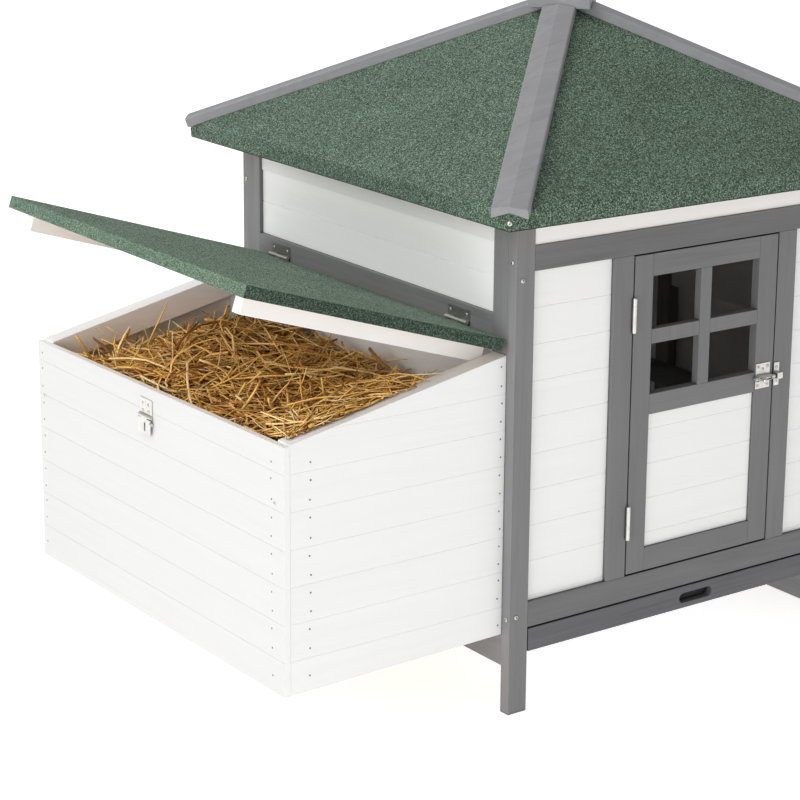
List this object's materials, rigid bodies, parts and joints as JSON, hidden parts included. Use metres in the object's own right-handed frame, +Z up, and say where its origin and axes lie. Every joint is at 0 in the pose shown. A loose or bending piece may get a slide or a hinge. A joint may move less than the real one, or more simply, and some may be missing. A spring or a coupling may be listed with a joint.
{
  "type": "chicken coop",
  "caption": "Small timber hen house with a felted hip roof, a windowed door, a side nest box with a hinged felted lid, a pull-out tray, a pop-hole hatch and a ramp.",
  "frame": {"origin": "middle of the front-left post's foot, on the ground", "axes": "+X along the door wall towards the right-hand post, away from the nest box; +Y towards the back wall; +Z up"},
  "size_m": [1.3114, 0.8218, 0.932],
  "materials": {
    "grey_paint": "grey painted softwood, satin",
    "white_paint": "white painted softwood, satin",
    "bare_timber": "unpainted planed softwood",
    "green_felt": "mineral faced bitumen roofing felt",
    "zinc_steel": "zinc plated",
    "straw": "loose dry straw"
  },
  "bodies": {
    "house": {"apex_cap": "grey_paint", "back_frame": "grey_paint", "back_left_post": "grey_paint", "back_panels": "white_paint", "back_right_post": "grey_paint", "bolt_keeper": "zinc_steel", "door_hinge_fixed_leaves": "zinc_steel", "fascia_boards": "white_paint", "frame_screws": "zinc_steel", "front_bottom_rail": "grey_paint", "front_jambs": "grey_paint", "front_left_post": "grey_paint", "front_panels": "white_paint", "front_right_post": "grey_paint", "front_top_rail": "grey_paint", "hasp_plate": "zinc_steel", "hatch_guides": "grey_paint", "hinge_pins": "zinc_steel", "hip_caps": "grey_paint", "left_bottom_rail": "grey_paint", "left_hinge_rail": "grey_paint", "left_lower_panel": "white_paint", "left_stiles": "grey_paint", "left_upper_panel": "white_paint", "lid_and_ramp_fixed_leaves": "zinc_steel", "nest_end_frames": "white_paint", "nest_far_panel": "white_paint", "nest_floor": "bare_timber", "nest_near_panel": "white_paint", "nest_outer_panel": "white_paint", "nest_straw": "straw", "perch": "bare_timber", "right_bottom_rail": "grey_paint", "right_mid_rail": "grey_paint", "right_panels": "white_paint", "right_skirt": "grey_paint", "right_stiles": "grey_paint", "roof_boards": "bare_timber", "roof_felt": "green_felt", "tray_runners": "bare_timber"},
    "front_door": {"door_stiles": "grey_paint", "door_rails": "grey_paint", "door_muntins": "grey_paint", "door_panel": "white_paint", "door_hinge_moving_leaves": "zinc_steel", "bolt_plate": "zinc_steel"},
    "door_bolt": {"bolt_rod": "zinc_steel"},
    "nest_lid": {"lid_board": "bare_timber", "lid_felt": "green_felt", "lid_battens": "white_paint", "lid_hinge_moving_leaves": "zinc_steel"},
    "hasp_flap": {"hasp_flap": "zinc_steel"},
    "droppings_tray": {"tray_front": "grey_paint", "tray_pan": "zinc_steel"},
    "pop_hatch": {"hatch_board": "white_paint", "hatch_knob": "bare_timber"},
    "ramp": {"ramp_board": "grey_paint", "ramp_cleats": "grey_paint", "ramp_hinge_moving_leaves": "zinc_steel"}
  },
  "joints": [
    {"name": "door_swing", "type": "hinge", "parent": "house", "child": "front_door", "pos_m": [0.1865, -0.012, 0.388], "axis": [0, 0, -1], "range_deg": [0, 110]},
    {"name": "bolt_slide", "type": "slide", "parent": "front_door", "child": "door_bolt", "axis": [1, 0, 0], "range_m": [0, 0.019]},
    {"name": "lid_hinge", "type": "hinge", "parent": "house", "child": "nest_lid", "pos_m": [-0.0205, 0.312, 0.532], "axis": [0, 1, 0], "range_deg": [-26, 54.5]},
    {"name": "hasp_hinge", "type": "hinge", "parent": "house", "child": "hasp_flap", "pos_m": [-0.3629, 0.351, 0.395], "axis": [0, 1, 0], "range_deg": [0, 150]},
    {"name": "tray_slide", "type": "slide", "parent": "house", "child": "droppings_tray", "axis": [0, -1, 0], "range_m": [0, 0.45]},
    {"name": "hatch_slide", "type": "slide", "parent": "house", "child": "pop_hatch", "axis": [0, 0, 1], "range_m": [0, 0.24]},
    {"name": "ramp_hinge", "type": "hinge", "parent": "house", "child": "ramp", "pos_m": [0.6615, 0.327, 0.116], "axis": [0, -1, 0], "range_deg": [0, 100]}
  ]
}
